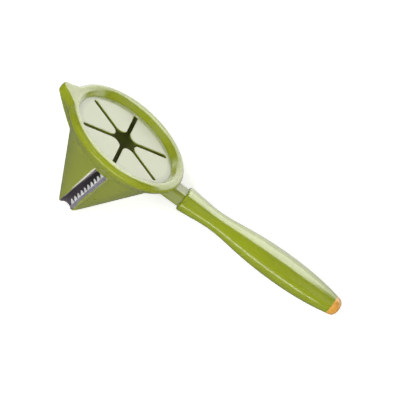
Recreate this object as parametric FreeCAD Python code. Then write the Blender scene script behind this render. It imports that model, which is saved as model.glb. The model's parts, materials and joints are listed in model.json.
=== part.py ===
"""Handheld spiralizer: a funnel-shaped cutter on a side handle.

The cone narrows from a wide mouth to a small outlet, like a large pencil sharpener.
A window along one side of the cone holds a toothed scoring blade and a straight slicing
blade. The mouth is crossed by a flexible centring guide, cut by six slots into six flaps.
A ring clamps the guide on the cone's flange and carries a pointed ear, by which the
tool hooks over the edge of a bowl. The cone's neck runs into a handle as a tang, held by a
long screw under a coloured end cap.

Lengths are millimetres and angles are degrees. The pieces are modelled in the tool's own
frame: the cone's axis is Z with the mouth up, the guide's top face is z = 0 and the handle
points along +X. At the end all pieces are laid on the table together, as the tool lies by
itself: on the ring, the outlet and the handle.
"""

import math
import os

import FreeCAD
import Part

Vector = FreeCAD.Vector
AXIS = Vector(0, 0, 1)
CENTRE = Vector(0, 0, 0)

# Clearances between pieces
moulded_gap = 0.05
blade_gap = 0.03
hinge_gap = 0.1

# Cuts that run past the solid, and the search for the lying position
far = 200.0
overcut = 1.0
tolerance = 1e-6
steepest_lean = 45.0
halvings = 60
outline_steps = 200

# Cone
cone_half_angle = 29.0
mouth_radius = 41.85
outlet_radius = 5.65
cone_wall = 1.8
flange_reach = 0.5
flange_thickness = 1.6
ledge_width = 1.2

# Ring round the mouth
bead_radius = 3.6
bead_offset = 0.25
bead_centre_height = 1.1
ring_lip = 4.45
ring_inner_slope = 2.0
ring_edge_fillet = 0.5
skirt_depth = 9.0

# Ear on the ring, opposite the handle
ear_length = 9.4
ear_tip_radius = 3.6
ear_flank_radius = 30.0
ear_rise = 2.1
ear_sink = 0.4
ear_side_depth = 2.0
ear_keel_depth = 20.0
ear_keel_sink = 0.5
ear_edge_round = 3.2

# Centring guide
guide_thickness = 0.6
guide_grip = 1.2
guide_step = 0.15
slot_count = 6
slot_width = 2.8
slot_end_inset = 3.0
petal_tip_radius = 5.2
root_margin = 0.41

# Blade window
window_azimuth = -92.4
window_skew = 0.9
window_top_depth = 11.5
window_width = 9.6
window_cut_depth = 4.9
outlet_notch = 4.5

# Scoring blade
plate_thickness = 0.5
plate_lift = 0.1
plate_overlap = 1.0
plate_end_gap = 8.41
plate_seat = 1.4
tooth_pitch = 5.17
tooth_width = 3.4
tooth_length = 2.8
tooth_bend = 35.0
tooth_line = 2.3
first_tooth = 1.8

# Slicing blade
slicer_length = 32.0
slicer_top_gap = 0.6
slicer_drop = 2.3
slicer_inset = 1.0
slicer_wide = 2.3
slicer_narrow = 0.9
slicer_bevel = 0.9

# Rail along the window that carries the scoring blade
rail_top_width = 0.9
rail_slope_width = 3.2
rail_drop = 3.6
rail_margin = 0.6
clamp_end_gap = 8.1
clamp_length = 20.0
clamp_overlap = 0.9
clamp_thickness = 0.5

# Neck and tang
handle_tilt = 3.4
handle_axis_depth = 9.75
neck_reach = 8.15
neck_width = 11.9
neck_height = 11.1
neck_corner = 3.0
neck_entry = 4.0
tang_width = 7.6
tang_height = 6.6
tang_corner = 1.5
tang_end_gap = 33.5

# Handle: places along the handle from its collar or back from its end cap, and radii there
handle_body_length = 119.3
collar_round = 1.3
collar_radius = 8.7
flare_place = 12.0
flare_radius = 7.7
waist_place = 24.0
waist_radius = 6.75
swell_place = 47.0
swell_radius = 8.75
belly_from_cap = 43.6
belly_radius = 10.5
taper_from_cap = 19.6
taper_radius = 9.6
cap_joint_radius = 6.75
cap_length = 6.1
cap_shoulder_place = 4.2
cap_shoulder_radius = 5.35

# Handle screw and the cap's plug
screw_radius = 2.0
screw_clearance = 0.1
screw_bite = 14.0
screw_head_radius = 3.8
screw_head_height = 2.8
screw_point = 3.0
screw_recess_width = 1.0
screw_recess_length = 4.4
screw_recess_depth = 1.6
screw_seat_depth = 13.5
plug_radius = 4.2
plug_length = 7.0

# Worked out from the sizes above
cone_slope = math.tan(math.radians(cone_half_angle))
outlet_depth = (mouth_radius - outlet_radius) / cone_slope
wall_across = cone_wall / math.cos(math.radians(cone_half_angle))
flange_top = -guide_thickness
ring_inner_radius = mouth_radius - ring_lip
ledge_radius = ring_inner_radius - ledge_width
band_radius = ring_inner_radius + guide_grip
clamp_height = moulded_gap - guide_step
bead_centre_radius = mouth_radius + bead_offset
ring_outer_radius = bead_centre_radius + bead_radius
ring_top = bead_centre_height + bead_radius
ear_reach = ring_outer_radius + ear_length
slot_angle = 360.0 / slot_count
slot_end_radius = ring_inner_radius - slot_end_inset
root_distance = slot_end_radius * math.cos(math.radians(slot_angle / 2)) + root_margin
window_length = (outlet_depth - window_top_depth) / math.cos(math.radians(cone_half_angle))
blade_end = window_length - plate_end_gap
clamp_start = blade_end - clamp_end_gap - clamp_length
collar_place = ring_outer_radius + neck_reach
tang_length = handle_body_length - tang_end_gap
screw_seat_place = handle_body_length - screw_seat_depth
screw_length = screw_seat_place - tang_length + screw_bite


def cone_radius(height):
    """Outer radius of the cone at a height, which is negative below the guide's top."""
    return mouth_radius + height * cone_slope


def at(radius, height):
    """A point of a section in the XZ plane."""
    return Vector(radius, 0, height)


def turned(points):
    """Solid made by turning a closed outline of straight sides about the cone's axis."""
    outline = Part.makePolygon(points + [points[0]])
    return Part.Face(outline).revolve(CENTRE, AXIS, 360)


def prism(points, along):
    """Solid made by pushing a closed outline of straight sides along a vector."""
    outline = Part.makePolygon(points + [points[0]])
    return Part.Face(outline).extrude(along)


def arc_edge(centre, radius, start, middle, end):
    """Arc in a plan view, from three angles about its centre."""
    points = []
    for angle in (start, middle, end):
        turn = math.radians(angle)
        points.append(centre + Vector(radius * math.cos(turn), radius * math.sin(turn), 0))
    return Part.Arc(*points).toShape()


def rounded_bar(width, height, corner, start, length):
    """Bar along +X with a rounded rectangle as its section: width on Y, height on Z."""
    bar = Part.makeBox(length, width, height, Vector(start, -width / 2, -height / 2))
    long_edges = [edge for edge in bar.Edges if abs(edge.Length - length) < tolerance
                  and abs(edge.tangentAt(edge.FirstParameter).x) > 1 - tolerance]
    return bar.makeFillet(corner, long_edges)


# Frames inside the tool: along the handle, and along the blade window
tilt_turn = FreeCAD.Rotation(Vector(0, 1, 0), -handle_tilt)
handle_frame = FreeCAD.Placement(Vector(0, 0, -handle_axis_depth), tilt_turn)

window_top = at(cone_radius(-window_top_depth), -window_top_depth)
window_run = FreeCAD.Rotation(Vector(0, 1, 0), cone_half_angle)
window_frame = FreeCAD.Placement(CENTRE, FreeCAD.Rotation(AXIS, window_azimuth)).multiply(
    FreeCAD.Placement(window_top, window_run)).multiply(
    FreeCAD.Placement(CENTRE, FreeCAD.Rotation(Vector(1, 0, 0), -window_skew)))


def on_window(down, across, out):
    """Point in the blade window: down towards the outlet, across, and out of the cone."""
    return window_frame.multVec(Vector(out, across, -down))


def window_prism(across_out, start, end):
    """Solid along the window, from its section as (across, out) pairs."""
    points = [on_window(start, across, out) for across, out in across_out]
    return prism(points, on_window(end, 0, 0) - on_window(start, 0, 0))


def placed(shape, frame):
    moved = shape.copy()
    moved.Placement = frame.multiply(moved.Placement)
    return moved


def cone_cavity():
    """The space inside the cone, from below the outlet up to the flange's top."""
    inner_foot = cone_radius(-outlet_depth) - wall_across
    ledge_height = (ledge_radius + wall_across - mouth_radius) / cone_slope
    below = -outlet_depth - overcut
    points = [at(0, below), at(inner_foot, below),
              at(inner_foot, -outlet_depth), at(ledge_radius, ledge_height),
              at(ledge_radius, far), at(0, far)]
    return turned(points)


def cone_envelope(gap):
    """The cone with its flange as a full solid, grown by a gap."""
    under_flange = flange_top - flange_thickness
    flange_radius = cone_radius(under_flange) + flange_reach
    points = [at(0, -outlet_depth), at(cone_radius(-outlet_depth) + gap, -outlet_depth),
              at(cone_radius(under_flange) + gap, under_flange - gap),
              at(flange_radius + gap, under_flange - gap),
              at(flange_radius + gap, flange_top + gap), at(0, flange_top + gap)]
    return turned(points)


def neck_bar(grow, start, end):
    """The neck, as one rounded bar along the handle's axis."""
    bar = rounded_bar(neck_width + 2 * grow, neck_height + 2 * grow, neck_corner + grow,
                      start, end - start)
    return placed(bar, handle_frame)


def blade_plate(grow):
    """Flat part of the scoring blade, from the root of its teeth to the rail."""
    inside = tooth_line - grow
    outside = window_width / 2 + grow
    low = plate_lift - grow
    high = plate_lift + plate_thickness + grow
    section = [(inside, low), (outside, low), (outside, high), (inside, high)]
    return window_prism(section, -plate_overlap - grow, blade_end + grow)


def solid_from(faces):
    """Solid from flat faces given by their corners."""
    sides = [Part.Face(Part.makePolygon(corners + [corners[0]])) for corners in faces]
    return Part.makeSolid(Part.makeShell(sides))


def make_scoring_blade():
    blade = blade_plate(0)
    bend = math.radians(tooth_bend)
    along = tooth_length * math.cos(bend)
    drop = tooth_length * math.sin(bend)
    low = plate_lift
    high = plate_lift + plate_thickness
    root = tooth_line + plate_thickness
    tooth_count = 1 + int((blade_end - first_tooth - tooth_width / 2) / tooth_pitch)
    for number in range(tooth_count):
        middle = first_tooth + number * tooth_pitch
        left = middle - tooth_width / 2
        right = middle + tooth_width / 2
        base = [on_window(left, root, low), on_window(right, root, low),
                on_window(right, root, high), on_window(left, root, high)]
        edge = [on_window(left, tooth_line, low), on_window(right, tooth_line, low),
                on_window(right, tooth_line, high), on_window(left, tooth_line, high)]
        tip_low = on_window(middle, tooth_line - along, low - drop)
        tip_high = on_window(middle, tooth_line - along, high - drop)
        tooth = solid_from([[edge[0], edge[1], tip_low], [edge[3], tip_high, edge[2]],
                            [edge[0], tip_low, tip_high, edge[3]],
                            [edge[1], edge[2], tip_high, tip_low],
                            [base[0], edge[0], edge[3], base[3]],
                            [base[1], base[2], edge[2], edge[1]],
                            [base[0], base[1], edge[1], edge[0]],
                            [base[3], edge[3], edge[2], base[2]],
                            [base[0], base[3], base[2], base[1]]])
        blade = blade.fuse(tooth)
    return blade.removeSplitter()


def slicing_blade(grow):
    """Straight blade under the window's other lip, narrower towards the outlet."""
    lip = -window_width / 2
    sections = []
    for down, width in ((slicer_top_gap - grow, slicer_wide),
                        (slicer_top_gap + slicer_length + grow, slicer_narrow)):
        edge = lip + width + grow
        back = lip - slicer_inset - grow
        low = -slicer_drop - grow
        high = -slicer_drop + plate_thickness + grow
        bevel = min(slicer_bevel, width + slicer_inset / 2)
        outline = [on_window(down, back, low), on_window(down, edge, low),
                   on_window(down, edge - bevel, high), on_window(down, back, high)]
        sections.append(Part.makePolygon(outline + [outline[0]]))
    return Part.makeLoft(sections, True, True)


def blade_rail():
    """Raised rail that seats the scoring blade, with a sloping outer side."""
    top = plate_lift + plate_thickness
    seat = window_width / 2 - plate_seat
    out = window_width / 2 + rail_top_width
    foot = out + rail_slope_width
    section = [(seat, -window_cut_depth), (seat, top), (out, top), (foot, top - rail_drop),
               (foot, -window_cut_depth)]
    return window_prism(section, -plate_overlap - rail_margin, blade_end + rail_margin)


def blade_clamp():
    """Lip of the rail that holds the scoring blade's edge down."""
    top = plate_lift + plate_thickness
    edge = window_width / 2
    out = edge + rail_top_width
    section = [(edge - clamp_overlap, top + blade_gap), (edge + blade_gap, top + blade_gap),
               (edge + blade_gap, plate_lift), (out, plate_lift),
               (out, top), (out - clamp_thickness / 2, top + clamp_thickness),
               (edge - clamp_overlap + clamp_thickness, top + clamp_thickness)]
    return window_prism(section, clamp_start, clamp_start + clamp_length)


def blade_window():
    """Opening along the cone, with a notch past the end of the scoring blade."""
    half = window_width / 2
    sections = [(half - plate_seat, 0), (half + outlet_notch, blade_end + blade_gap)]
    cuts = []
    for edge, start in sections:
        outline = [(-half, -window_cut_depth), (edge, -window_cut_depth),
                   (edge, window_cut_depth), (-half, window_cut_depth)]
        cuts.append(window_prism(outline, start, window_length + window_cut_depth))
    return cuts[0].fuse(cuts[1])


def make_cone_body():
    """Cone, flange, blade rail, neck and tang as one moulding."""
    body = cone_envelope(0).fuse(blade_rail())

    neck_end = collar_place + neck_entry
    body = body.fuse(neck_bar(0, ledge_radius - wall_across, neck_end))
    tang = rounded_bar(tang_width, tang_height, tang_corner, neck_end,
                       tang_length - neck_entry)
    body = body.fuse(placed(tang, handle_frame))

    body = body.cut(cone_cavity()).cut(blade_window())
    body = body.cut(blade_plate(blade_gap)).fuse(blade_clamp())
    body = body.cut(slicing_blade(blade_gap))

    pilot = Part.makeCylinder(screw_radius + moulded_gap, far,
                              Vector(handle_screw_reach(), 0, 0), Vector(1, 0, 0))
    body = body.cut(placed(pilot, handle_frame))
    return body.removeSplitter()


def handle_screw_reach():
    """Place of the screw's point along the handle's axis."""
    return collar_place + screw_seat_place - screw_length - screw_clearance


def ear_outline(height):
    """Plan of the ear: a rounded tip, with hollow flanks that run into the ring."""
    tip_centre = Vector(-(ear_reach - ear_tip_radius), 0, height)
    reach = ring_outer_radius - ear_sink + ear_flank_radius
    tip_reach = ear_tip_radius + ear_flank_radius
    apart = ear_reach - ear_tip_radius
    along = (reach ** 2 - tip_reach ** 2 + apart ** 2) / (2 * apart)
    aside = math.sqrt(reach ** 2 - along ** 2)
    on_ring = math.degrees(math.atan2(aside, along))
    on_tip = math.degrees(math.atan2(aside, along - apart))
    edges = [arc_edge(tip_centre, ear_tip_radius, 180 - on_tip, 180, 180 + on_tip)]
    for side in (-1, 1):
        flank_centre = Vector(-along, side * aside, height)
        start = -side * on_ring
        end = -side * on_tip
        edges.append(arc_edge(flank_centre, ear_flank_radius, start, (start + end) / 2, end))
    return edges, on_ring


def ear_plan(height):
    """Plan of the ear, closed inside the ring under the top of its bead."""
    edges, on_ring = ear_outline(height)
    inner = []
    for side in (1, -1):
        turn = math.radians(180 - side * on_ring)
        direction = Vector(math.cos(turn), math.sin(turn), 0)
        lift = Vector(0, 0, height)
        inner.append(direction * bead_centre_radius + lift)
        outer = direction * (ring_outer_radius - ear_sink) + lift
        edges.append(Part.LineSegment(outer, inner[-1]).toShape())
    back = Vector(-bead_centre_radius, 0, height)
    edges.append(Part.Arc(inner[0], back, inner[1]).toShape())
    return Part.Wire(Part.sortEdges(edges)[0])


def make_ear():
    """Ear: a slab with a rising top and a rounded edge, over a keel that runs to the cone."""
    side_height = bead_centre_height - ear_side_depth
    slab = Part.Face(ear_plan(side_height)).extrude(Vector(0, 0, far))
    rise = math.atan2(ear_rise, ear_reach - bead_centre_radius)
    above = Part.makeBox(2 * far, 2 * far, 2 * far, Vector(-far, -far, 0))
    above.rotate(CENTRE, Vector(0, 1, 0), math.degrees(rise))
    above.translate(Vector(-bead_centre_radius, 0, ring_top - ear_sink))
    slab = slab.cut(above)
    top_edges = []
    for edge in slab.Edges:
        middle = edge.valueAt((edge.FirstParameter + edge.LastParameter) / 2)
        top = ring_top - ear_sink + math.tan(rise) * (-middle.x - bead_centre_radius)
        outside = math.hypot(middle.x, middle.y) > bead_centre_radius + bead_radius / 2
        if outside and abs(middle.z - top) < tolerance and not isinstance(edge.Curve, Part.Line):
            top_edges.append(edge)
    slab = slab.makeFillet(ear_edge_round, top_edges)

    upper = ear_plan(0)
    lower = upper.copy()
    lower.scale((cone_radius(-ear_keel_depth) - ear_keel_sink) / ear_reach, CENTRE)
    upper.translate(Vector(0, 0, side_height))
    lower.translate(Vector(0, 0, -ear_keel_depth))
    keel = Part.makeLoft([upper, lower], True, True)
    return slab.fuse(keel)


def make_rim_ring():
    """Ring that clamps the guide on the flange: round bead, tapering skirt, and the ear."""
    foot = at(cone_radius(-skirt_depth) + moulded_gap, -skirt_depth)
    centre = at(bead_centre_radius, bead_centre_height)
    to_foot = foot - centre
    foot_turn = math.atan2(to_foot.z, to_foot.x)
    tangent_turn = foot_turn + math.acos(bead_radius / to_foot.Length)
    inner_top = ring_inner_radius + ring_inner_slope
    start_turn = math.acos((inner_top - bead_centre_radius) / bead_radius)

    def on_bead(turn):
        return centre + Vector(bead_radius * math.cos(turn), 0, bead_radius * math.sin(turn))

    bead = Part.Arc(on_bead(start_turn), on_bead((start_turn + tangent_turn) / 2),
                    on_bead(tangent_turn)).toShape()
    inside = ledge_radius - wall_across
    sides = [on_bead(tangent_turn), foot, at(inside, -skirt_depth), at(inside, clamp_height),
             at(ring_inner_radius, clamp_height), on_bead(start_turn)]
    edges = [bead]
    for first, second in zip(sides, sides[1:]):
        edges.append(Part.LineSegment(first, second).toShape())
    ring = Part.Face(Part.Wire(edges)).revolve(CENTRE, AXIS, 360)
    inner_edges = []
    for edge in ring.Edges:
        if isinstance(edge.Curve, Part.Circle) and abs(edge.Curve.Radius - inner_top) < tolerance:
            inner_edges.append(edge)
    ring = ring.makeFillet(ring_edge_fillet, inner_edges)

    ring = ring.fuse(make_ear())
    mouth = turned([at(0, clamp_height), at(ring_inner_radius, clamp_height),
                    at(inner_top, on_bead(start_turn).z), at(inner_top, far), at(0, far)])
    band_groove = Part.makeCylinder(band_radius + moulded_gap, 2 * guide_thickness,
                                    Vector(0, 0, clamp_height - 2 * guide_thickness))
    ring = ring.cut(mouth).cut(band_groove)
    ring = ring.cut(cone_envelope(moulded_gap))
    ring = ring.cut(neck_bar(moulded_gap, ledge_radius, collar_place))
    return ring.removeSplitter()


def radial_slot():
    """One slot of the guide along +X, with a round end."""
    length = slot_end_radius - slot_width / 2
    slot = Part.makeBox(length, slot_width, 4 * guide_thickness,
                        Vector(0, -slot_width / 2, -2 * guide_thickness))
    end = Part.makeCylinder(slot_width / 2, 4 * guide_thickness,
                            Vector(length, 0, -2 * guide_thickness))
    return slot.fuse(end)


def make_guide_band():
    """Outer band of the guide, thinner where the ring clamps it, from which the flaps bend."""
    foot = Vector(0, 0, -guide_thickness)
    band = Part.makeCylinder(band_radius, guide_thickness - guide_step, foot).fuse(
        Part.makeCylinder(ring_inner_radius - moulded_gap, guide_thickness, foot))
    half = root_distance * math.tan(math.radians(slot_angle / 2))
    corners = []
    for number in range(slot_count):
        turn = math.radians(slot_angle * (number + 0.5))
        reach = math.hypot(root_distance, half)
        corners.append(Vector(reach * math.cos(turn), reach * math.sin(turn), -2 * guide_thickness))
    band = band.cut(prism(corners, Vector(0, 0, 4 * guide_thickness)))
    for number in range(slot_count):
        slot = radial_slot()
        slot.rotate(CENTRE, AXIS, slot_angle * (number + 0.5))
        band = band.cut(slot)
    return band.removeSplitter()


def hinge_distance():
    """Distance of a flap's bending line from the cone's axis."""
    return root_distance - hinge_gap - guide_thickness / 2


def make_flap(number):
    """One flap: straight sides along its slots, a round tip, and a rolled root edge."""
    half_turn = math.radians(slot_angle / 2)
    hinge = hinge_distance()
    root_half = hinge * math.tan(half_turn) - slot_width / 2 / math.cos(half_turn)
    tip_centre = (petal_tip_radius + slot_width / 2) / math.sin(half_turn)
    side_x = tip_centre - petal_tip_radius * math.sin(half_turn)
    side_y = petal_tip_radius * math.cos(half_turn)
    low = -guide_thickness
    tip = Part.Arc(Vector(side_x, side_y, low), Vector(tip_centre - petal_tip_radius, 0, low),
                   Vector(side_x, -side_y, low)).toShape()
    corners = [Vector(side_x, -side_y, low), Vector(hinge, -root_half, low),
               Vector(hinge, root_half, low), Vector(side_x, side_y, low)]
    edges = [tip]
    for first, second in zip(corners, corners[1:]):
        edges.append(Part.LineSegment(first, second).toShape())
    flap = Part.Face(Part.Wire(edges)).extrude(Vector(0, 0, guide_thickness))
    root = Part.makeCylinder(guide_thickness / 2, 2 * root_half,
                             Vector(hinge, -root_half, low / 2), Vector(0, 1, 0))
    flap = flap.fuse(root).removeSplitter()
    flap.rotate(CENTRE, AXIS, slot_angle * number)
    return flap


def handle_outline(along):
    """Outer edge of the handle between its collar and its end cap, as one smooth curve."""
    end = along + handle_body_length
    places = [(along + collar_round, collar_radius), (along + flare_place, flare_radius),
              (along + waist_place, waist_radius), (along + swell_place, swell_radius),
              (end - belly_from_cap, belly_radius), (end - taper_from_cap, taper_radius),
              (end, cap_joint_radius)]
    curve = Part.BSplineCurve()
    curve.interpolate([Vector(place, 0, radius) for place, radius in places])
    return curve


def turned_on_handle(edges):
    """Solid of revolution about the handle's axis."""
    solid = Part.Face(Part.Wire(edges)).revolve(CENTRE, Vector(1, 0, 0), 360)
    return placed(solid, handle_frame)


def line_chain(points):
    return [Part.LineSegment(first, second).toShape() for first, second in zip(points, points[1:])]


def make_handle_grip():
    """Hollow handle: sockets for the neck and the tang, and a bore for the screw."""
    start = collar_place
    end = start + handle_body_length
    curve = handle_outline(start)
    first = curve.StartPoint
    last = curve.EndPoint
    corner_turn = math.radians(45)
    corner_middle = Vector(start + collar_round * (1 - math.sin(corner_turn)), 0,
                           collar_radius - collar_round * (1 - math.cos(corner_turn)))
    corner = Part.Arc(Vector(start, 0, collar_radius - collar_round), corner_middle, first)
    edges = [corner.toShape(), curve.toShape()]
    edges += line_chain([last, Vector(end, 0, 0), Vector(start, 0, 0),
                         Vector(start, 0, collar_radius - collar_round)])
    grip = turned_on_handle(edges)

    neck_socket = neck_bar(moulded_gap, start - overcut, start + neck_entry + moulded_gap)
    grip = grip.cut(neck_socket)
    tang_socket = rounded_bar(tang_width + 2 * moulded_gap, tang_height + 2 * moulded_gap,
                              tang_corner + moulded_gap, start,
                              tang_length + moulded_gap)
    grip = grip.cut(placed(tang_socket, handle_frame))
    shank_bore = Part.makeCylinder(screw_radius + screw_clearance, screw_length,
                                   Vector(start + screw_seat_place - screw_length, 0, 0),
                                   Vector(1, 0, 0))
    plug_bore = Part.makeCylinder(plug_radius + moulded_gap, handle_body_length,
                                  Vector(start + screw_seat_place, 0, 0), Vector(1, 0, 0))
    return grip.cut(placed(shank_bore, handle_frame)).cut(placed(plug_bore, handle_frame))


def make_handle_screw():
    """Long pan-head screw from the handle's end into the tang."""
    seat = collar_place + screw_seat_place
    point = seat - screw_length
    outline = [Vector(point, 0, 0), Vector(point + screw_point, 0, screw_radius),
               Vector(seat, 0, screw_radius), Vector(seat, 0, screw_head_radius),
               Vector(seat + screw_head_height / 2, 0, screw_head_radius),
               Vector(seat + screw_head_height, 0, screw_head_radius / 2),
               Vector(seat + screw_head_height, 0, 0), Vector(point, 0, 0)]
    screw = turned_on_handle(line_chain(outline))
    recess_start = seat + screw_head_height - screw_recess_depth
    for width, height in ((screw_recess_width, screw_recess_length),
                          (screw_recess_length, screw_recess_width)):
        recess = Part.makeBox(screw_head_height, width, height,
                              Vector(recess_start, -width / 2, -height / 2))
        screw = screw.cut(placed(recess, handle_frame))
    return screw


def make_end_cap():
    """Rounded end cap with a plug that closes the screw's bore."""
    start = collar_place + handle_body_length
    curve = Part.BSplineCurve()
    slope_at_end = handle_outline(collar_place).tangent(1.0)[0]
    curve.interpolate(Points=[Vector(start, 0, cap_joint_radius),
                              Vector(start + cap_shoulder_place, 0, cap_shoulder_radius),
                              Vector(start + cap_length, 0, 0)],
                      InitialTangent=slope_at_end, FinalTangent=Vector(0, 0, -1))
    plug_start = start - plug_length
    outline = line_chain([Vector(start + cap_length, 0, 0), Vector(plug_start, 0, 0),
                          Vector(plug_start, 0, plug_radius), Vector(start, 0, plug_radius),
                          Vector(start, 0, cap_joint_radius)])
    return turned_on_handle([curve.toShape()] + outline)


def handle_support(lean):
    """Least height of the handle for a lean, above a plane through the cone's origin."""
    curve = handle_outline(collar_place)
    up = up_direction(lean)
    along = handle_frame.Rotation.multVec(Vector(1, 0, 0))
    across = math.sqrt(1 - along.dot(up) ** 2)
    lowest = far
    for step in range(outline_steps + 1):
        point = curve.value(curve.FirstParameter
                            + (curve.LastParameter - curve.FirstParameter) * step / outline_steps)
        centre = handle_frame.multVec(Vector(point.x, 0, 0))
        lowest = min(lowest, centre.dot(up) - point.z * across)
    return lowest


def axis_rise():
    """Angle of the cone's axis over the table, with the ring and the outlet touching it."""
    down = bead_centre_height + outlet_depth
    out = bead_centre_radius - cone_radius(-outlet_depth)
    return math.atan2(out, down) + math.asin(bead_radius / math.hypot(out, down))


def up_direction(lean):
    """Direction away from the table in the tool's frame, for a lean towards the handle."""
    rise = axis_rise()
    return Vector(-math.cos(rise) * math.sin(lean), -math.cos(rise) * math.cos(lean),
                  math.sin(rise))


def table_lean():
    """Lean at which the handle comes down on the table with the ring and the outlet."""
    rise = axis_rise()
    table = bead_centre_height * math.sin(rise) - bead_centre_radius * math.cos(rise) - bead_radius
    low = 0.0
    high = math.radians(steepest_lean)
    for _ in range(halvings):
        middle = (low + high) / 2
        if handle_support(middle) > table:
            low = middle
        else:
            high = middle
    return low


def lying_rotation():
    """Turn from the tool's frame to the table: Z off the table, the handle along +X."""
    up = up_direction(table_lean())
    handle = handle_frame.Rotation.multVec(Vector(1, 0, 0))
    side = up.cross(handle).normalize()
    front = side.cross(up)
    matrix = FreeCAD.Matrix(front.x, front.y, front.z, 0, side.x, side.y, side.z, 0,
                            up.x, up.y, up.z, 0, 0, 0, 0, 1)
    return FreeCAD.Placement(matrix)


def make_pieces():
    pieces = {
        "cone_body": make_cone_body(),
        "rim_ring": make_rim_ring(),
        "guide_band": make_guide_band(),
        "scoring_blade": make_scoring_blade(),
        "slicing_blade": slicing_blade(0),
        "handle_grip": make_handle_grip(),
        "handle_screw": make_handle_screw(),
        "end_cap": make_end_cap(),
    }
    for number in range(slot_count):
        pieces[f"guide_flap_{number + 1}"] = make_flap(number)
    return pieces


def table_placement(pieces):
    """Lay the tool down, with the middle of its footprint at the origin."""
    turn = lying_rotation()
    box = FreeCAD.BoundBox()
    for shape in pieces.values():
        box.add(placed(shape, turn).optimalBoundingBox(False))
    shift = Vector(-box.Center.x, -box.Center.y, -box.ZMin)
    return FreeCAD.Placement(shift, FreeCAD.Rotation()).multiply(turn)


os.makedirs("parts", exist_ok=True)
pieces = make_pieces()
on_table = table_placement(pieces)
for name, shape in pieces.items():
    placed(shape, on_table).exportStep(f"parts/{name}.step")
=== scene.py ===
"""Looks of the handheld spiralizer: ring, centring guide and both blades rebuilt in finer detail,
a lip along the window painted pale as a highlight, materials for every piece, and a studio like the
photograph's.

Lengths are millimetres in the tool's own frame, which part.py also uses: the cone's axis is Z
with the mouth up, the guide's top is z = 0 and the handle points along +X. The frame's hinges
say where that frame lies in the world. Materials and the studio are in metres.
"""

import json
import math

import bpy
from mathutils import Matrix, Vector


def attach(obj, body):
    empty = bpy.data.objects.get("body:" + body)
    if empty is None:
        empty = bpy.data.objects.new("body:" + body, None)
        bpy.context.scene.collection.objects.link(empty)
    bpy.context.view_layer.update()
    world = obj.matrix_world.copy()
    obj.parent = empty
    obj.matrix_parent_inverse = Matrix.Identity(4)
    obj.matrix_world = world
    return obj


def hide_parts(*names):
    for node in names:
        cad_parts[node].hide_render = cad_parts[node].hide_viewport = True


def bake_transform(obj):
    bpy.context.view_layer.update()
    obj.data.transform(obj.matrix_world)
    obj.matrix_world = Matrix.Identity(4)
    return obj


MM = 0.001

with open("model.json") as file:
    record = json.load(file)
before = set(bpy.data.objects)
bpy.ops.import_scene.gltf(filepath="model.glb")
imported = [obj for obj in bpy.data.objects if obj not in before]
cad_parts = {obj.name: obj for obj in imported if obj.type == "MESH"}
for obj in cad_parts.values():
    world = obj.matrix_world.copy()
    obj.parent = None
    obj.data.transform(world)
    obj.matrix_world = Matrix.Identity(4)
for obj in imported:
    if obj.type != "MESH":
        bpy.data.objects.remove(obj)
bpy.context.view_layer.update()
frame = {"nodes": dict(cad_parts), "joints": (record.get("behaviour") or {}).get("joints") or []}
scene = bpy.context.scene

# Sizes shared with the CAD model
FLAPS = 6
GUIDE_THICKNESS = 0.6
GUIDE_STEP = 0.15
CONE_ANGLE = math.radians(29.0)
CONE_SLOPE = math.tan(CONE_ANGLE)
CONE_WALL = 2.06
MOUTH_RADIUS = 41.85
FLANGE = 1.6
FLANGE_EDGE = 0.5
GAP = 0.05

# Ring: a round bead over a skirt, with a sloping wall inside. Offsets are (radius, height), and
# shares say where a stretch's points lie along it
BEAD = 3.6
BEAD_RADIUS = 42.09
BEAD_HEIGHT = 1.1
BEAD_STEPS = (8, 14, 6)
BEAD_SLIVER = math.radians(3.0)
BEAD_BRIDGE = (0.33, 0.67)
RING_RADIUS = BEAD_RADIUS + BEAD
RING_INSIDE = 37.4
RING_SEAT = 38.65
INNER_FOOT = -0.1
INNER_CHAMFER = (0.05, 0.35)
INNER_SLOPE = 2.0
INNER_SHARES = (0.3, 0.6, 0.85)
INNER_TOP = RING_INSIDE + INNER_SLOPE
INNER_CORNER = ((-0.12, -0.22), (0.06, 0.12))
CORNER_TURN = 0.12
BEAD_START = math.acos((INNER_TOP - BEAD_RADIUS) / BEAD)
SEAT_TOP = -GUIDE_THICKNESS + GAP
SEAT_FOOT = -GUIDE_THICKNESS - FLANGE - GAP
SKIRT_FOOT = -9.0
SKIRT_EDGE = 0.03
SKIRT_GAP = 0.01
SKIRT_DROP = 0.1
SKIRT_BELLY = 0.45
SKIRT_OUT = (0.75, -0.66)
SKIRT_SHARES = (0.15, 0.3, 0.45, 0.6, 0.75, 0.88, 1.0)
SKIRT_BACK = (0.75, 0.45)

# Ear, opposite the handle: the ring's outline drawn out to a tip over a keel down the cone
EAR_REACH = RING_RADIUS + 9.4
EAR_TIP = 3.6
EAR_FLANK = 30.0
EAR_SINK = 0.4
EAR_SOFT = 0.25
EAR_FADE = 0.12
EAR_SIDE = BEAD_HEIGHT - 2.0
EAR_KEEL = -20.0
EAR_KEEL_SINK = 0.5
EAR_UNDERSIDE = math.radians(-36.0)
EAR_EDGE = 1.2
EAR_NARROWING = 3
EAR_LIFT = 1.1

# Degrees between the ring's sections, up to an angle from the ear
SECTION_STEPS = ((6.0, 0.22), (26.0, 0.5), (180.0, 1.6))

# Centring guide: petals between slots, and the band round them
SLOT_HALF = 1.4
SLOT_END = 34.4
PETAL_TIP = 5.2
HALF_TURN = math.pi / FLAPS
BAND_RADIUS = 38.55
CLAMP_RADIUS = 37.35
BAND_LINES = ((SLOT_END + 1.2, 0.0), (36.5, 0.0), (CLAMP_RADIUS - 0.1, 0.0),
              (CLAMP_RADIUS, -GUIDE_STEP), (BAND_RADIUS, -GUIDE_STEP))
TIP_STEPS = 14
SIDE_STEPS = 30
END_STEPS = 9
COLUMNS = 22
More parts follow.
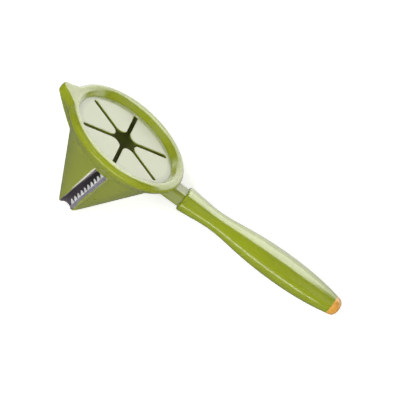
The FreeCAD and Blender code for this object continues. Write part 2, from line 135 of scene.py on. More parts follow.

# Edges of the slots: rolled on top, with thick walls. They are greener than the petals' faces,
# whose paler colour is partly a painted sheen, and so is the rim, fully from GREEN_END outwards,
# where the green is painted shade by the ring's wall
EDGE_ROLL = 0.95
EDGE_DROP = 0.32
EDGE_UNDER = 0.15
EDGE_DEPTH = 1.15
EDGE_WIDTH = 1.5
EDGE_FLAT = 0.6
ROLL_STEPS = 5
GREEN_POWER = 0.4
GREEN_START = 33.2
GREEN_END = 36.0

# Window: its place on the cone. Both blades and the lip use its own directions, which are down
# along the cone, across, and out
WINDOW_AZIMUTH = math.radians(-92.4)
WINDOW_SKEW = math.radians(-0.9)
WINDOW_TOP = -11.5

# Scoring blade: a plate with teeth bent into the cone
PLATE_LOW = 0.1
PLATE_HIGH = 0.6
PLATE_START = -1.0
PLATE_END = 53.1
PLATE_SIDE = 4.8
TOOTH_LINE = 2.3
TOOTH_COUNT = 10
TOOTH_PITCH = 5.17
TOOTH_WIDTH = 4.5
TOOTH_LENGTH = 3.2
TOOTH_BEND = math.radians(35.0)
TOOTH_TIP = 0.45
FIRST_TOOTH = 1.8

# Slicing blade: its edge as (down, across), and how far its held side reaches at both ends
SLICER_LINE = ((-0.4, -2.5), (8.0, -3.2), (20.0, -3.7), (32.6, -4.2), (42.0, -4.4),
               (51.9, -4.2))
SLICER_SIDE = -5.9
SLICER_SIDE_END = -5.6
SLICER_OUT = -1.75
SLICER_THICK = 0.5

# Bevel of both blades
BLADE_EDGE = 0.07
BLADE_CORNER = math.radians(25)

# Lip along the slicing blade's side of the window, thinner towards both ends, painted pale as a
# highlight
LIP_START = -0.6
LIP_END = 38.0
LIP_ACROSS = -5.35
LIP_SIZE = 0.75
LIP_BLUNTNESS = 0.3
LIP_SWELLING = 6
LIP_THINNING = 0.75
LIP_FLATNESS = 0.8
LIP_ROWS = 36
LIP_SIDES = 10
LIP_SETTLING = 6

# Sharpest angle in degrees that is shaded smooth
SMOOTH_FORM = 50
SMOOTH_BLADE = 40
SMOOTH_LIP = 60

# Materials: noises as (scale, detail), the spans of roughness that they make, and how much
# darker worn steel is
FLOW_NOISE = (28.0, 4.0)
GRAIN_DETAIL = 2.0
GLOSS_NOISE = (190.0, 5.0)
GLOSS_SPAN = (0.85, 1.2)
WEAR_NOISE = (140.0, 4.0)
WORN_SHARE = 0.84
SCRATCH_NOISE = (900.0, 3.0)
SCRATCH_STRETCH = (0.03, 1.0, 1.0)
SCRATCH_SPAN = (0.7, 1.4)
SCRATCH_RELIEF = 1.2e-5

# Where plastic is painted paler as an edge highlight or darker as shade: how squarely a face
# meets its rounded shading, and heights inside the cone over which the painted shade grows. Then
# how far light goes into it, in metres for red, green and blue
BEVEL_FACING = (0.86, 0.99)
DARK_HEIGHTS = (-0.045, -0.018)
THROUGH_REACH = (0.004, 0.004, 0.001)

# Photograph: its directions in the tool's frame, its middle in millimetres, its width in metres
IMAGE_RIGHT = (0.7744, 0.2137, 0.5954)
IMAGE_TOWARD = (-0.1255, -0.8706, 0.4757)
IMAGE_MIDDLE = (48.7, -38.99)
IMAGE_WIDTH = 0.26
CAMERA_DISTANCE = 12.0
CAMERA_SENSOR = 36.0
CAMERA_END = 20.0

# Sides of the image, from the one that is lit
LIT_SIDE = (0.625, 0.78)
DIM_SIDE = (-LIT_SIDE[0], -LIT_SIDE[1])
LEFT_SIDE = (-LIT_SIDE[1], LIT_SIDE[0])
RIGHT_SIDE = (LIT_SIDE[1], -LIT_SIDE[0])

# Lights: name, side, degrees off the camera's axis, distance, width, height, power, and whether
# it shows in reflections alone or else in diffuse light alone
LIGHTS = (("key", LIT_SIDE, 72.0, 1.1, 0.9, 1.2, 18.4, True),
          ("strip", DIM_SIDE, 66.0, 0.9, 1.0, 0.045, 2.1, True),
          ("fill_left", LEFT_SIDE, 35.0, 1.4, 0.9, 0.9, 9.8, False),
          ("fill_right", RIGHT_SIDE, 35.0, 1.4, 0.9, 0.9, 7.8, False),
          ("fill_low", DIM_SIDE, 62.0, 1.4, 0.9, 0.9, 5.2, False))

# Floor and world. Reflections see sweeps that rise towards the lit side as (near, far, low,
# high), and that fade past two distances to the sides
FLOOR_HALF = 3.0
FLOOR_GREY = 0.88
FLOOR_LIFT = 0.55
SWEEPS = ((0.0, 0.055, 0.15, 2.6), (0.055, 0.4, 0.0, 1.2), (0.15, 0.5, 0.0, 2.2))
SWEEP_MIDDLE = 0.1
SWEEP_SIDES = (0.24, 0.4)
SWEEP_FADED = 0.1
WORLD_LEVEL = 0.1


# Places

def cone_radius(height):
    return MOUTH_RADIUS + height * CONE_SLOPE


def placed(origin, *axes):
    """Matrix that turns X, Y and Z to three directions and moves them to a point."""
    return Matrix.Translation(origin) @ Matrix(axes).transposed().to_4x4()


def tool_frame():
    """The tool's frame in the world, from the six hinges of the guide."""
    places = [Vector(joint["pos_m"]) for joint in frame["joints"]]
    middle = sum(places, Vector()) / len(places)
    x_axis = (places[0] - middle).normalized()
    y_axis = -Vector(frame["joints"][0]["axis"]).normalized()
    z_axis = x_axis.cross(y_axis).normalized()
    return placed(middle + z_axis * (GUIDE_THICKNESS / 2 * MM), x_axis, y_axis, z_axis)


TOOL = tool_frame()
ORIGIN = TOOL.to_translation()
AXES = TOOL.to_3x3()
RIGHT = (AXES @ Vector(IMAGE_RIGHT)).normalized()
TOWARD = (AXES @ Vector(IMAGE_TOWARD)).normalized()
UP = TOWARD.cross(RIGHT).normalized()
TARGET = ORIGIN + (RIGHT * IMAGE_MIDDLE[0] + UP * IMAGE_MIDDLE[1]) * MM
WINDOW = (Matrix.Rotation(WINDOW_AZIMUTH, 4, "Z")
          @ Matrix.Translation(Vector((cone_radius(WINDOW_TOP), 0, WINDOW_TOP)))
          @ Matrix.Rotation(CONE_ANGLE, 4, "Y") @ Matrix.Rotation(WINDOW_SKEW, 4, "X"))


def in_window(down, across, out):
    """Point of the tool's frame, from a place in the window's own directions."""
    return WINDOW @ Vector((out, across, -down))


# Meshes

def new_piece(name, points, faces, material, body="tool"):
    """Smooth closed piece from points in millimetres of the tool's frame."""
    mesh = bpy.data.meshes.new(name)
    mesh.from_pydata([TOOL @ (Vector(point) * MM) for point in points], [], faces)
    mesh.polygons.foreach_set("use_smooth", [True] * len(mesh.polygons))
    mesh.materials.append(material)
    piece = bpy.data.objects.new(name, mesh)
    scene.collection.objects.link(piece)
    if body:
        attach(piece, body)
    return piece


def sharpen(piece, degrees):
    """Splits the shading at edges sharper than an angle."""
    split = piece.modifiers.new("edges", "EDGE_SPLIT")
    split.split_angle = math.radians(degrees)


def walls(rows, size, closed=False):
    """Faces between sections of equally many points, the last joined to the first if closed."""
    faces = []
    for row in range(rows if closed else rows - 1):
        near = row * size
        far = (row + 1) % rows * size
        for step in range(size):
            after = (step + 1) % size
            faces.append((near + step, near + after, far + after, far + step))
    return faces


# Materials

def nodes_of(name):
    material = bpy.data.materials.new(name)
    material.use_nodes = True
    tree = material.node_tree
    return material, tree, tree.nodes["Principled BSDF"]


def linear(colour):
    """Linear colour from display values of 0 to 255."""
    out = []
    for value in colour:
        value = value / 255
        out.append(value / 12.92 if value <= 0.04045 else ((value + 0.055) / 1.055) ** 2.4)
    return (*out, 1.0)


def feed(tree, socket, value):
    """Links a socket to another one, or sets it where the value is plain. None leaves it."""
    if isinstance(value, bpy.types.NodeSocket):
        tree.links.new(value, socket)
    elif value is not None:
        socket.default_value = value


def worked(tree, operation, first, second=None, kind="ShaderNodeMath", result="Value"):
    """Result of a maths node on sockets or plain values."""
    node = tree.nodes.new(kind)
    node.operation = operation
    feed(tree, node.inputs[0], first)
    feed(tree, node.inputs[1], second)
    return node.outputs[result]


def vector_worked(tree, operation, first, second, result="Vector"):
    """Result of a vector maths node."""
    return worked(tree, operation, first, second, "ShaderNodeVectorMath", result)


def dotted(tree, first, second):
    """Dot product of two vectors."""
    return vector_worked(tree, "DOT_PRODUCT", first, second, "Value")


def ranged(tree, source, low, high, start=0.3, end=0.7, smooth=False):
    """Value from low to high as a source goes from start to end, by default a noise's span."""
    change = tree.nodes.new("ShaderNodeMapRange")
    if smooth:
        change.interpolation_type = "SMOOTHSTEP"
    change.inputs["From Min"].default_value = start
    change.inputs["From Max"].default_value = end
    change.inputs["To Min"].default_value = low
    change.inputs["To Max"].default_value = high
    tree.links.new(source, change.inputs["Value"])
    return change.outputs["Result"]


def mixed(tree, factor, first, second):
    """Mix of two colours. The node's colour sockets are 6 and 7, with their result in 2."""
    mix = tree.nodes.new("ShaderNodeMix")
    mix.data_type = "RGBA"
    for number, value in ((0, factor), (6, first), (7, second)):
        feed(tree, mix.inputs[number], value)
    return mix.outputs[2]


def position(tree):
    """Place in the world, because every mesh has its points in world coordinates."""
    return tree.nodes.new("ShaderNodeTexCoord").outputs["Object"]


def noise_at(tree, scale, detail, stretch=None):
    """Noise by place, longer along an axis whose stretch is under 1."""
    noise = tree.nodes.new("ShaderNodeTexNoise")
    noise.inputs["Scale"].default_value = scale
    noise.inputs["Detail"].default_value = detail
    source = position(tree)
    if stretch:
        mapping = tree.nodes.new("ShaderNodeMapping")
        mapping.inputs["Scale"].default_value = stretch
        tree.links.new(source, mapping.inputs["Vector"])
        source = mapping.outputs["Vector"]
    tree.links.new(source, noise.inputs["Vector"])
    return noise.outputs["Fac"]


def rounded_edges(tree, radius):
    bevel = tree.nodes.new("ShaderNodeBevel")
    bevel.samples = 6
    bevel.inputs["Radius"].default_value = radius
    return bevel.outputs["Normal"]


def edge_mask(tree, normal):
    """1 on edges that a bevel rounds, 0 on the faces between them."""
    surface = tree.nodes.new("ShaderNodeNewGeometry")
    return ranged(tree, dotted(tree, normal, surface.outputs["Normal"]), 1.0, 0.0, *BEVEL_FACING)


def painted_depth_shade(tree):
    """Mask of painted shade: 0 outside the cone and near its mouth, rising to 1 on the inner wall
    at the outlet.
    """
    z_axis = AXES @ Vector((0, 0, 1))
    offset = vector_worked(tree, "SUBTRACT", position(tree), ORIGIN)
    height = dotted(tree, offset, z_axis)
    upright = vector_worked(tree, "MULTIPLY", height, z_axis)
    away = vector_worked(tree, "SUBTRACT", offset, upright)
    radius = vector_worked(tree, "LENGTH", away, None, "Value")
    wall = worked(tree, "ADD", worked(tree, "MULTIPLY", height, CONE_SLOPE), MOUTH_RADIUS * MM)
    inner = worked(tree, "GREATER_THAN", worked(tree, "SUBTRACT", wall, radius),
                   CONE_WALL / 2 * MM)
    return worked(tree, "MULTIPLY", inner, ranged(tree, height, 1.0, 0.0, *DARK_HEIGHTS))


def bumped(tree, shader, height, distance, normal=None):
    """Surface relief, over edges that a bevel rounds."""
    bump = tree.nodes.new("ShaderNodeBump")
    bump.inputs["Distance"].default_value = distance
    tree.links.new(height, bump.inputs["Height"])
    if normal:
        tree.links.new(normal, bump.inputs["Normal"])
    tree.links.new(bump.outputs["Normal"], shader.inputs["Normal"])


def plastic(name, colour, deep, roughness, coat=1.0, skin=0.2, grain=1800.0, relief=2e-5,
            edge=0.0, pale=None, green=None, inside=None, through=0.0):
    """Moulded plastic: flow shades in the colour, a fine skin and small changes in gloss. It may
    have rounded edges painted paler as a highlight, an inner wall painted darker as shade towards
    the outlet, and a greener shade where the mesh says so, which on the guide leaves the petals'
    faces paler as a painted sheen."""
    material, tree, shader = nodes_of(name)
    flow = ranged(tree, noise_at(tree, *FLOW_NOISE), 0.0, 1.0)
    shade = mixed(tree, flow, linear(colour), linear(deep))
    normal = rounded_edges(tree, edge) if edge else None
    # Painted highlight: rounded edges turn pale
    if pale:
        shade = mixed(tree, edge_mask(tree, normal), shade, linear(pale))
    # Painted shade: the inner wall darkens towards the outlet
    if inside:
        shade = mixed(tree, painted_depth_shade(tree), shade, linear(inside))
    # Deeper green where the mesh says so; on the guide the paler faces around it are partly a
    # painted sheen
    if green:
        place = tree.nodes.new("ShaderNodeAttribute")
        place.attribute_name = "green"
        shade = mixed(tree, place.outputs["Fac"], shade, linear(green))
    tree.links.new(shade, shader.inputs["Base Color"])
    gloss = ranged(tree, noise_at(tree, *GLOSS_NOISE),
                   *(roughness * share for share in GLOSS_SPAN))
    tree.links.new(gloss, shader.inputs["Roughness"])
    bumped(tree, shader, noise_at(tree, grain, GRAIN_DETAIL), relief, normal)
    shader.inputs["Coat Weight"].default_value = coat
    shader.inputs["Coat Roughness"].default_value = skin
    if through:
        shader.inputs["Subsurface Weight"].default_value = through
        shader.inputs["Subsurface Radius"].default_value = THROUGH_REACH
        shader.inputs["Subsurface Scale"].default_value = 1.0
    return material


def steel(name, colour, roughness, metallic=1.0):
    """Ground steel: fine scratches along one direction and cloudy wear."""
    material, tree, shader = nodes_of(name)
    shader.inputs["Metallic"].default_value = metallic
    wear = ranged(tree, noise_at(tree, *WEAR_NOISE), 0.0, 1.0)
    worn = [value * WORN_SHARE for value in colour]
    tree.links.new(mixed(tree, wear, linear(colour), linear(worn)), shader.inputs["Base Color"])
    scratches = noise_at(tree, *SCRATCH_NOISE, stretch=SCRATCH_STRETCH)
    gloss = ranged(tree, scratches, *(roughness * share for share in SCRATCH_SPAN))
    tree.links.new(gloss, shader.inputs["Roughness"])
    bumped(tree, shader, scratches, SCRATCH_RELIEF)
    return material


# Colours as display values: the main one, then the one that its flow shades go to

RING_GREEN = plastic("ring_green", (167, 180, 36), (160, 172, 26), 0.26, coat=0.72,
                     relief=6e-6)
HANDLE_GREEN = plastic("handle_green", (163, 178, 26), (156, 170, 20), 0.24, edge=0.0004)
# The cone's rounded edges are painted pale as a highlight, and its inner wall is painted darker as
# shade towards the outlet
CONE_GREEN = plastic("cone_green", (162, 173, 64), (153, 164, 54), 0.32, coat=0.6,
                     edge=0.0005, pale=(224, 228, 168), inside=(134, 124, 138),
                     through=0.25)
# Painted highlight: the lip's near-white colour stands in for light caught by the window's edge
LIP_PAINTED_HIGHLIGHT = plastic("lip_painted_highlight", (255, 252, 226), (250, 248, 214), 0.3)
# The guide's pale colour is partly a painted sheen; its slot edges and rim take the deeper green
GUIDE_GREEN = plastic("guide_green", (188, 196, 126), (183, 191, 118), 0.14, skin=0.12,
                      grain=1200.0, relief=1e-5, green=(143, 154, 50))
CAP_ORANGE = plastic("cap_orange", (255, 188, 80), (252, 179, 69), 0.26)
BLADE_STEEL = steel("blade_steel", (196, 190, 205), 0.34, metallic=0.55)
# Painted glint: the teeth are painted plain white
TOOTH_PAINTED_GLINT = steel("tooth_painted_glint", (255, 255, 255), 0.3, metallic=0.1)
SLICER_STEEL = steel("slicer_steel", (170, 163, 180), 0.4, metallic=0.5)
SCREW_STEEL = steel("screw_steel", (186, 186, 190), 0.3)


# Ring with its ear: a closed section at each azimuth, stretched outwards into the ear

def ear_radius(angle):
    """Outline of ring and ear: distance from the cone's axis, at an angle from the ear."""
    angle = abs(angle)
    apart = EAR_REACH - EAR_TIP
    reach = RING_RADIUS - EAR_SINK + EAR_FLANK
    tip_reach = EAR_TIP + EAR_FLANK
    along = (reach ** 2 - tip_reach ** 2 + apart ** 2) / (2 * apart)
    aside = math.sqrt(reach ** 2 - along ** 2)
    end = math.atan2(aside, along)
    tip_end = math.atan2(EAR_TIP * aside / tip_reach, apart + EAR_TIP * (along - apart) / tip_reach)
    if angle <= tip_end:
        side = apart * math.sin(angle)
        return apart * math.cos(angle) + math.sqrt(EAR_TIP ** 2 - side ** 2)
    if angle < end:
        turn = end - angle
        flank = reach * math.cos(turn) - math.sqrt(EAR_FLANK ** 2 - (reach * math.sin(turn)) ** 2)
        return RING_RADIUS + EAR_SOFT * math.log1p(math.exp((flank - RING_RADIUS) / EAR_SOFT))
    rest = EAR_SOFT * math.log1p(math.exp(-EAR_SINK / EAR_SOFT))
    return RING_RADIUS + rest * max(0.0, 1 - (angle - end) / EAR_FADE) ** 2


def keel_height(outer, ear):
    """Where the ear's side, drawn in towards its keel, meets the cone."""
    outer -= EAR_SINK * (1 - ear)
    shrink = (1 - (cone_radius(EAR_KEEL) - EAR_KEEL_SINK) / EAR_REACH) / (EAR_SIDE - EAR_KEEL)
    return EAR_SIDE - (outer - cone_radius(EAR_SIDE)) / (shrink * outer - CONE_SLOPE)


def arc(middle, height, size, start, end, steps):
    """Points (radius, height) on an arc, by angle from straight outwards."""
    turns = [start + (end - start) * step / steps for step in range(steps + 1)]
    return [(middle + size * math.cos(turn), height + size * math.sin(turn)) for turn in turns]


def inner_wall():
    """Up the sloping wall inside the ring and round the corner at its top."""
    top = BEAD_HEIGHT + BEAD * math.sin(BEAD_START)
    points = [(RING_INSIDE, INNER_FOOT),
              (RING_INSIDE + INNER_CHAMFER[0], INNER_FOOT + INNER_CHAMFER[1])]
    points += [(RING_INSIDE + INNER_SLOPE * share, INNER_FOOT + (top - INNER_FOOT) * share)
               for share in INNER_SHARES]
    return points + [(INNER_TOP + past, top + over) for past, over in INNER_CORNER]


def over_bead(outer, ear, foot_r, foot_z):
    """Over the bead, which the ear draws out, lifts and narrows, to where the skirt leaves it."""
    away_r = foot_r - BEAD_RADIUS
    away_z = foot_z - BEAD_HEIGHT
    tangent = math.atan2(away_z, away_r) + math.acos(BEAD / math.hypot(away_z, away_r))
    tangent = tangent * (1 - ear) + EAR_UNDERSIDE * ear
    edge = EAR_EDGE + (BEAD - EAR_EDGE) * (1 - ear) ** EAR_NARROWING
    top = BEAD_HEIGHT + BEAD + EAR_LIFT * ear
    crown = math.pi / 2
    rise, fall, under = BEAD_STEPS
    points = arc(BEAD_RADIUS, BEAD_HEIGHT, BEAD, BEAD_START - CORNER_TURN, crown + BEAD_SLIVER,
                 rise)
    over = arc(outer - edge, top - edge, edge, crown - BEAD_SLIVER, 0.0, fall)
    inner = Vector(points[-1])
    points += [tuple(inner.lerp(Vector(over[0]), share)) for share in BEAD_BRIDGE]
    return points + over + arc(outer - BEAD, BEAD_HEIGHT, BEAD, -BEAD_SLIVER, tangent, under)


def down_skirt(top_r, top_z, foot_r, foot_z):
    """Down the skirt, which bellies out a little, to its foot on the cone."""
    points = []
    for share in SKIRT_SHARES:
        belly = 4 * share * (1 - share) * SKIRT_BELLY
        points.append((top_r + (foot_r + SKIRT_EDGE - top_r) * share + belly * SKIRT_OUT[0],
                       top_z + (foot_z - top_z) * share + belly * SKIRT_OUT[1]))
    return points + [(foot_r, foot_z - SKIRT_DROP)]


def up_inside(foot_z):
    """Back up along the cone, and round the seats of the flange and the guide."""
    heights = [foot_z * share for share in SKIRT_BACK] + [SEAT_FOOT]
    seat = cone_radius(SEAT_FOOT + GAP) + FLANGE_EDGE + GAP
    return [(cone_radius(height) + GAP, height) for height in heights] + [
        (seat, SEAT_FOOT), (seat, SEAT_TOP), (RING_SEAT, SEAT_TOP), (RING_SEAT, INNER_FOOT)]


def ring_section(outer):
    """Closed section of the ring where its outline is at a distance from the axis, in four
    stretches. An ear of 0 is the plain ring, and 1 is the ear's tip."""
    ear = (outer - RING_RADIUS) / (EAR_REACH - RING_RADIUS)
    foot_z = min(SKIRT_FOOT, keel_height(outer, ear))
    foot_r = cone_radius(foot_z) + SKIRT_GAP
    bead = over_bead(outer, ear, foot_r, foot_z)
    return inner_wall() + bead + down_skirt(*bead[-1], foot_r, foot_z) + up_inside(foot_z)


def section_angles():
    """Degrees from the ear of the ring's sections, closer together on the ear."""
    angles = []
    turn = 0.0
    while turn < 180.0:
        angles.append(turn)
        turn += next(step for limit, step in SECTION_STEPS if turn < limit)
    angles.append(180.0)
    return [-turn for turn in reversed(angles[1:])] + angles[:-1]


def make_ring():
    points = []
    angles = section_angles()
    for turn in angles:
        angle = math.radians(turn)
        section = ring_section(ear_radius(angle))
        for radius, height in section:
            points.append((-radius * math.cos(angle), radius * math.sin(angle), height))
    ring = new_piece("ring_shell", points, walls(len(angles), len(section), closed=True),
                     RING_GREEN)
    sharpen(ring, SMOOTH_FORM)
    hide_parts("rim_ring")


# Centring guide: six sectors, each a flap with its part of the band

def flap_side():
    """One side of a sector from its tip to its rim, as (x, y, outward direction, top): the edge
    is rounded where the top is None, and else meets the next sector's side at that height."""
    side = []
    centre = (PETAL_TIP + SLOT_HALF) / math.sin(HALF_TURN)
    for step in range(TIP_STEPS + 1):
        turn = math.pi - (math.pi / 2 - HALF_TURN) * step / TIP_STEPS
        side.append((centre + PETAL_TIP * math.cos(turn), PETAL_TIP * math.sin(turn),
                     math.cos(turn), math.sin(turn), None))
    along = (math.cos(HALF_TURN), math.sin(HALF_TURN))
    out = (-along[1], along[0])
    first_x, first_y = side[-1][:2]
    slot_centre = SLOT_END - SLOT_HALF
    last_x = slot_centre * along[0] - SLOT_HALF * out[0]
    last_y = slot_centre * along[1] - SLOT_HALF * out[1]
    for step in range(1, SIDE_STEPS + 1):
        share = step / SIDE_STEPS
        side.append((first_x + (last_x - first_x) * share, first_y + (last_y - first_y) * share,
                     *out, None))
    for step in range(1, END_STEPS + 1):
        turn = math.pi / 2 * step / END_STEPS
        nx = -out[0] * math.cos(turn) + along[0] * math.sin(turn)
        ny = -out[1] * math.cos(turn) + along[1] * math.sin(turn)
        side.append((slot_centre * along[0] + SLOT_HALF * nx,
                     slot_centre * along[1] + SLOT_HALF * ny, -nx, -ny, None))
    side += [(radius * along[0], radius * along[1], *out, top) for radius, top in BAND_LINES]
    return side


def slot_edge():
    """A slot's edge from the sheet's top to its underside: (inset, height) and how green."""
    turns = [math.pi / 2 * step / ROLL_STEPS for step in range(ROLL_STEPS + 1)]
    profile = [(EDGE_ROLL * (1 - math.sin(turn)), EDGE_DROP * (math.cos(turn) - 1))
               for turn in turns]
    profile += [(EDGE_UNDER * (1 - math.cos(turn)),
                 EDGE_UNDER * (1 - math.sin(turn)) - EDGE_DEPTH) for turn in turns[::2]]
    profile += [(EDGE_UNDER, -EDGE_DEPTH), (EDGE_WIDTH * EDGE_FLAT, -EDGE_DEPTH),
                (EDGE_WIDTH, -GUIDE_THICKNESS)]
    greens = [(step / ROLL_STEPS) ** GREEN_POWER for step in range(ROLL_STEPS + 1)]
    greens += [1.0] * (len(profile) - len(greens) - 1) + [0.0]
    return profile, greens


def between(rows, flipped=False):
    """Faces between rows of point numbers, without the corners that meet."""
    faces = []
    for near, far in zip(rows, rows[1:]):
        for step in range(len(near) - 1):
            corners = [near[step], far[step], far[step + 1], near[step + 1]]
            if flipped:
                corners[1:] = corners[:0:-1]
            corners = tuple(dict.fromkeys(corners))
            if len(corners) > 2:
                faces.append(corners)
    return faces


def sector_sheet():
    """Points, greens and faces of the sector on +X: rungs across it on top and below, joined
    round its edge on both sides."""
    rounding, rounding_greens = slot_edge()
    last = len(rounding) - 1
    points = []
    greens = []

    def add(x, y, z, green=0.0):
        # Painted shade: the sheet turns green towards the ring's wall
        rim = min(1.0, max(0.0, (math.hypot(x, y) - GREEN_START) / (GREEN_END - GREEN_START)))
        points.append((x, y, z))
        greens.append(max(green, rim))
        return len(points) - 1

    right, left, top, bottom = [], [], [], []
    for index, (x, y, nx, ny, high) in enumerate(flap_side()):
        profile, profile_greens = rounding, rounding_greens
        if high is not None:
            profile = [(0.0, high + (-GUIDE_THICKNESS - high) * step / last)
                       for step in range(last + 1)]
            profile_greens = [0.0] * len(profile)
        places = [(x - nx * inset, max(0.0, y - ny * inset), height) for inset, height in profile]
        right_row = [add(*place, green) for place, green in zip(places, profile_greens)]
        left_row = right_row if index == 0 else [
            add(px, -py, pz, green) for (px, py, pz), green in zip(places, profile_greens)]
        right.append(right_row)
        left.append(left_row)
        for rows, end in ((top, 0), (bottom, -1)):
            px, py, pz = places[end]
            radius = math.hypot(px, py)
            reach = math.atan2(py, px)
            row = [right_row[end]]
            for column in range(1, COLUMNS):
                turn = reach * (1 - 2 * column / COLUMNS)
                row.append(right_row[end] if index == 0
                           else add(radius * math.cos(turn), radius * math.sin(turn), pz))
            rows.append(row + [left_row[end]])
    faces = between(top) + between(left) + between(bottom, True) + between(right, True)
    faces.append(tuple(top[-1] + left[-1][1:-1] + bottom[-1][::-1] + right[-1][-2:0:-1]))
    return points, greens, faces


def make_sector(number, points, greens, faces):
    """The sheet of a sector, turned to its place."""
    around = number * 2 * math.pi / FLAPS
    turned = [(x * math.cos(around) - y * math.sin(around),
               x * math.sin(around) + y * math.cos(around), z) for x, y, z in points]
    sector = new_piece(f"guide_sector_{number + 1}", turned, faces, GUIDE_GREEN,
                       body=None)
    shade = sector.data.attributes.new("green", "FLOAT", "POINT")
    shade.data.foreach_set("value", greens)
    sharpen(sector, SMOOTH_FORM)
    flap = f"guide_flap_{number + 1}"
    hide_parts(flap, "guide_band")
    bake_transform(sector)


# Blades and lip of the window

def grind(blade):
    """Bevels a blade's edges and shades its faces flat."""
    bevel = blade.modifiers.new("ground", "BEVEL")
    bevel.width = BLADE_EDGE * MM
    bevel.segments = 2
    bevel.angle_limit = BLADE_CORNER
    bevel.harden_normals = True
    sharpen(blade, SMOOTH_BLADE)


def toothed_outline():
    """The scoring blade's flat outline as (down, across), and the point numbers of its teeth."""
    outline = [(PLATE_START, PLATE_SIDE), (PLATE_START, TOOTH_LINE)]
    teeth = []
    for number in range(TOOTH_COUNT):
        middle = FIRST_TOOTH + number * TOOTH_PITCH
        teeth.append(tuple(range(len(outline), len(outline) + 4)))
        outline += [(middle - TOOTH_WIDTH / 2, TOOTH_LINE),
                    (middle - TOOTH_TIP, TOOTH_LINE - TOOTH_LENGTH),
                    (middle + TOOTH_TIP, TOOTH_LINE - TOOTH_LENGTH),
                    (middle + TOOTH_WIDTH / 2, TOOTH_LINE)]
    return outline + [(PLATE_END, TOOTH_LINE), (PLATE_END, PLATE_SIDE)], teeth


def make_scoring_blade():
    """Plate with a row of teeth bent into the cone, all from one outline, the teeth painted white
    as a glint.
    """
    outline, teeth = toothed_outline()
    points = []
    for out in (PLATE_HIGH, PLATE_LOW):
        for down, across in outline:
            past = max(0.0, TOOTH_LINE - across)
            across += past * (1 - math.cos(TOOTH_BEND))
            points.append(in_window(down, across, out - past * math.sin(TOOTH_BEND)))
    size = len(outline)
    tips = {index for tooth in teeth for index in tooth[1:3]}
    faces = [tuple(index for index in range(size) if index not in tips)] + teeth
    half = len(faces)
    faces += [tuple(index + size for index in reversed(face)) for face in list(faces)]
    painted_glint_faces = set(range(1, half)) | set(range(half + 1, 2 * half))
    for index in range(size):
        after = (index + 1) % size
        if index in tips or after in tips:
            painted_glint_faces.add(len(faces))
        faces.append((after, index, index + size, after + size))
    blade = new_piece("scoring_strip", points, faces, BLADE_STEEL)
    # The teeth and the sides at their tips get the painted glint
    blade.data.materials.append(TOOTH_PAINTED_GLINT)
    for index in painted_glint_faces:
        blade.data.polygons[index].material_index = 1
    grind(blade)
    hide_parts("scoring_blade")


def make_slicing_blade():
    """Steel strip inside the window's other side, drawn in towards the outlet."""
    points = []
    for down, inner in SLICER_LINE:
        share = down / SLICER_LINE[-1][0]
        outer = SLICER_SIDE + (SLICER_SIDE_END - SLICER_SIDE) * share
        low = SLICER_OUT - SLICER_THICK
        for across, out in ((outer, SLICER_OUT), (inner, SLICER_OUT), (inner, low), (outer, low)):
            points.append(in_window(down, across, out))
    last = len(points) - 4
    faces = [(3, 2, 1, 0), (last, last + 1, last + 2, last + 3)]
    faces += walls(len(SLICER_LINE), 4)
    blade = new_piece("slicing_strip", points, faces, SLICER_STEEL)
    grind(blade)
    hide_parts("slicing_blade")


def on_cone(down, across, lift):
    """Point over the cone's outside, by its place along and across the window."""
    out = 0.0
    for _ in range(LIP_SETTLING):
        point = in_window(down, across, out)
        out -= (math.hypot(point.x, point.y) - cone_radius(point.z)) * math.cos(CONE_ANGLE)
    return in_window(down, across, out + lift)


def make_lip():
    """Rounded lip on the cone along the slicing blade's side of the window, painted pale as a
    highlight.
    """
    points = []
    for row in range(LIP_ROWS + 1):
        share = row / LIP_ROWS
        down = LIP_START + (LIP_END - LIP_START) * share
        size = (LIP_SIZE * min(1.0, LIP_SWELLING * share + LIP_BLUNTNESS)
                * (1 - LIP_THINNING * share ** 2))
        for side in range(LIP_SIDES):
            turn = 2 * math.pi * side / LIP_SIDES
            points.append(on_cone(down, LIP_ACROSS - size * math.cos(turn),
                                  size * LIP_FLATNESS * math.sin(turn)))
    count = len(points)
    faces = [tuple(range(LIP_SIDES)), tuple(reversed(range(count - LIP_SIDES, count)))]
    faces += [(one, four, three, two) for one, two, three, four in walls(LIP_ROWS + 1, LIP_SIDES)]
    lip = new_piece("window_lip", points, faces, LIP_PAINTED_HIGHLIGHT)
    sharpen(lip, SMOOTH_LIP)


# Studio

def emission(tree, strength):
    shader = tree.nodes.new("ShaderNodeEmission")
    tree.links.new(strength, shader.inputs["Strength"])
    return shader.outputs["Emission"]


def sweep_glow(tree):
    """Brightness of the floor in reflections: it rises towards the image's lit side."""
    lit_side = RIGHT * LIT_SIDE[0] + UP * LIT_SIDE[1]
    lit_side.z = 0
    lit_side.normalize()
    place = position(tree)
    across = dotted(tree, place, lit_side)
    middle = ORIGIN.dot(lit_side)
    glow = 0.0
    for near, far, low, high in SWEEPS:
        ramp = ranged(tree, across, low, high, middle + near, middle + far, smooth=True)
        glow = worked(tree, "ADD", glow, ramp)
    along = dotted(tree, place, lit_side.cross(Vector((0, 0, 1))))
    aside = worked(tree, "ABSOLUTE", worked(tree, "SUBTRACT", along, SWEEP_MIDDLE))
    return worked(tree, "MULTIPLY", ranged(tree, aside, 1.0, SWEEP_FADED, *SWEEP_SIDES), glow)


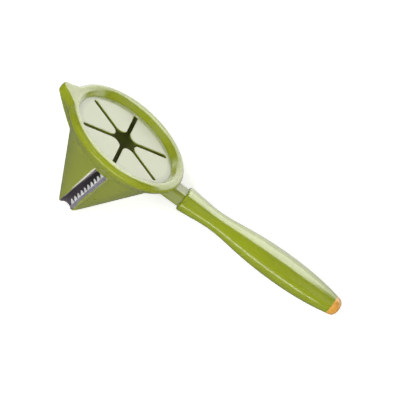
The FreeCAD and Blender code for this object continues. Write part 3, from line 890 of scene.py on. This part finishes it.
def make_floor():
    """White floor. Camera rays see it lifted to white over its soft shadow, and reflections
    see it as a studio sweep."""
    mesh = bpy.data.meshes.new("floor")
    half = FLOOR_HALF
    mesh.from_pydata([(-half, -half, 0), (half, -half, 0), (half, half, 0), (-half, half, 0)],
                     [], [(0, 1, 2, 3)])
    floor = bpy.data.objects.new("floor", mesh)
    scene.collection.objects.link(floor)
    material, tree, shader = nodes_of("floor_white")
    tree.nodes.remove(shader)
    diffuse = tree.nodes.new("ShaderNodeBsdfDiffuse")
    diffuse.inputs["Color"].default_value = (FLOOR_GREY, FLOOR_GREY, FLOOR_GREY, 1)
    path = tree.nodes.new("ShaderNodeLightPath")
    lift = worked(tree, "MULTIPLY", path.outputs["Is Camera Ray"], FLOOR_LIFT)
    both = tree.nodes.new("ShaderNodeAddShader")
    tree.links.new(diffuse.outputs["BSDF"], both.inputs[0])
    tree.links.new(emission(tree, lift), both.inputs[1])
    seen = tree.nodes.new("ShaderNodeMixShader")
    tree.links.new(path.outputs["Is Glossy Ray"], seen.inputs["Fac"])
    tree.links.new(both.outputs["Shader"], seen.inputs[1])
    tree.links.new(emission(tree, sweep_glow(tree)), seen.inputs[2])
    tree.links.new(seen.outputs["Shader"], tree.nodes["Material Output"].inputs["Surface"])
    mesh.materials.append(material)


def make_world():
    """World that camera rays see white and that lights the tool only a little."""
    world = bpy.data.worlds.new("studio")
    scene.world = world
    world.use_nodes = True
    tree = world.node_tree
    background = tree.nodes["Background"]
    background.inputs["Color"].default_value = (1, 1, 1, 1)
    path = tree.nodes.new("ShaderNodeLightPath")
    tree.links.new(ranged(tree, path.outputs["Is Camera Ray"], WORLD_LEVEL, 1.0, 0.0, 1.0),
                   background.inputs["Strength"])


def make_camera():
    data = bpy.data.cameras.new("camera")
    data.sensor_width = CAMERA_SENSOR
    data.lens = CAMERA_SENSOR * CAMERA_DISTANCE / IMAGE_WIDTH
    data.clip_end = CAMERA_END
    camera = bpy.data.objects.new("camera", data)
    scene.collection.objects.link(camera)
    camera.matrix_world = placed(TARGET + TOWARD * CAMERA_DISTANCE, RIGHT, UP, TOWARD)
    scene.camera = camera


def softbox(name, across, off_axis, distance, width, height, power):
    """Area light at an angle off the camera's axis, towards a direction in the image."""
    sideways = (RIGHT * across[0] + UP * across[1]).normalized()
    turn = math.radians(off_axis)
    towards = (TOWARD * math.cos(turn) + sideways * math.sin(turn)).normalized()
    side = towards.cross(sideways).normalized()
    data = bpy.data.lights.new(name, "AREA")
    data.shape = "RECTANGLE"
    data.size = width
    data.size_y = height
    data.energy = power
    light = bpy.data.objects.new(name, data)
    scene.collection.objects.link(light)
    light.matrix_world = placed(TARGET + towards * distance, side, towards.cross(side), towards)
    return light


make_ring()
sheet = sector_sheet()
for flap_number in range(FLAPS):
    make_sector(flap_number, *sheet)
make_scoring_blade()
make_slicing_blade()
make_lip()

CARRIED = {"cone_body": CONE_GREEN, "handle_grip": HANDLE_GREEN, "end_cap": CAP_ORANGE,
           "handle_screw": SCREW_STEEL}
for node, finish in CARRIED.items():
    frame["nodes"][node].data.materials.clear()
    frame["nodes"][node].data.materials.append(finish)

make_floor()
make_camera()
for *placing, reflected in LIGHTS:
    lamp = softbox(*placing)
    lamp.visible_diffuse = not reflected
    lamp.visible_glossy = reflected
make_world()
scene.view_settings.view_transform = "Standard"

bpy.context.view_layer.update()
